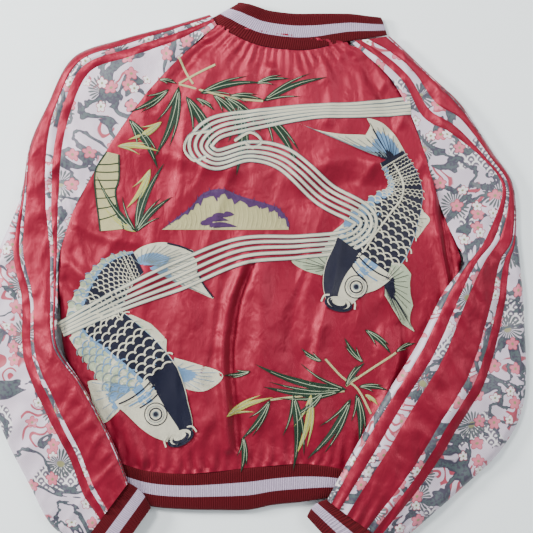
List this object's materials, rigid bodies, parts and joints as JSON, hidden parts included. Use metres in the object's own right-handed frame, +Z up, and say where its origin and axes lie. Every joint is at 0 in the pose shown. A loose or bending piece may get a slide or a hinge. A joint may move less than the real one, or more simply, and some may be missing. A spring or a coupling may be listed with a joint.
{
  "type": "embroidered satin jacket",
  "caption": "Lined satin souvenir jacket with raglan sleeves, rib-knit trims, front zip and carp embroidery, laid flat with its back up.",
  "frame": {"origin": "middle of the jacket's footprint, on the table under its front", "axes": "+Z up from the table through the jacket, +Y from the hem to the collar, +X towards the wearer's right"},
  "size_m": [0.7598, 0.805, 0.0392],
  "materials": {
    "satin_red": "lustrous crimson satin, soft folds",
    "jacquard": "pale mauve woven jacquard with blossom, branch and wave figures",
    "rib_knit": "matt crimson rib knit with a lavender stripe",
    "reverse_satin": "navy satin reverse side",
    "cream_thread": "cream rayon embroidery thread, satin stitch",
    "navy_thread": "navy rayon embroidery thread, satin stitch",
    "green_thread": "dark green rayon embroidery thread, satin stitch",
    "zip_tape": "woven zip tape",
    "zip_metal": "dull nickelled brass",
    "label_cloth": "plain woven label"
  },
  "bodies": {
    "jacket": {"back_panel": "satin_red", "back_lining": "reverse_satin", "front_panel_left": "satin_red", "front_panel_right": "satin_red", "front_lining_left": "reverse_satin", "front_lining_right": "reverse_satin", "collar_rib": "rib_knit", "hem_rib": "rib_knit", "pocket_welt_left": "satin_red", "pocket_welt_right": "satin_red", "pocket_bag_left": "reverse_satin", "pocket_bag_right": "reverse_satin", "zip_tape_left": "zip_tape", "zip_tape_right": "zip_tape", "zip_chain_left": "zip_metal", "zip_chain_right": "zip_metal", "zip_top_stop_left": "zip_metal", "zip_top_stop_right": "zip_metal", "zip_retainer": "zip_metal", "neck_label": "label_cloth", "hanger_loop": "satin_red", "koi_left": "cream_thread", "koi_right": "navy_thread", "stream": "cream_thread", "bamboo_upper": "green_thread", "bamboo_lower": "green_thread", "mound": "cream_thread", "stump": "cream_thread", "left_upper_back_panel": "jacquard", "left_upper_tape": "satin_red", "left_upper_inset": "jacquard", "left_upper_satin": "satin_red", "left_upper_front_panel": "jacquard", "left_upper_lining": "reverse_satin", "right_upper_back_panel": "jacquard", "right_upper_tape": "satin_red", "right_upper_inset": "jacquard", "right_upper_satin": "satin_red", "right_upper_front_panel": "jacquard", "right_upper_lining": "reverse_satin"},
    "left_lower_sleeve": {"left_forearm_satin": "satin_red", "left_forearm_inset": "jacquard", "left_forearm_tape": "satin_red", "left_forearm_outer_panel": "jacquard", "left_forearm_under_panel": "jacquard", "left_forearm_lining": "reverse_satin", "left_cuff_rib": "rib_knit"},
    "right_lower_sleeve": {"right_forearm_inner_panel": "jacquard", "right_forearm_inner_tape": "satin_red", "right_forearm_inner_inset": "jacquard", "right_forearm_satin": "satin_red", "right_forearm_outer_inset": "jacquard", "right_forearm_outer_tape": "satin_red", "right_forearm_outer_panel": "jacquard", "right_forearm_under_panel": "jacquard", "right_forearm_lining": "reverse_satin", "right_cuff_rib": "rib_knit"},
    "zip_slider": {"zip_slider": "zip_metal"},
    "zip_pull": {"zip_pull": "zip_metal"}
  },
  "joints": [
    {"name": "left_sleeve_fold", "type": "hinge", "parent": "jacket", "child": "left_lower_sleeve", "pos_m": [-0.32823, -0.01495, 0.0275], "axis": [-1, 0, 0], "range_deg": [0, 170]},
    {"name": "right_sleeve_fold", "type": "hinge", "parent": "jacket", "child": "right_lower_sleeve", "pos_m": [0.32977, 0.03505, 0.0432], "axis": [-1, 0, 0], "range_deg": [0, 170]},
    {"name": "zip_slide", "type": "slide", "parent": "jacket", "child": "zip_slider", "axis": [-0.1086, -0.9941, 0], "range_m": [0, 0.575]},
    {"name": "pull_swing", "type": "hinge", "parent": "zip_slider", "child": "zip_pull", "pos_m": [0.05511, 0.28099, 0.0006], "axis": [0.9941, -0.1086, 0], "range_deg": [0, 170]}
  ]
}
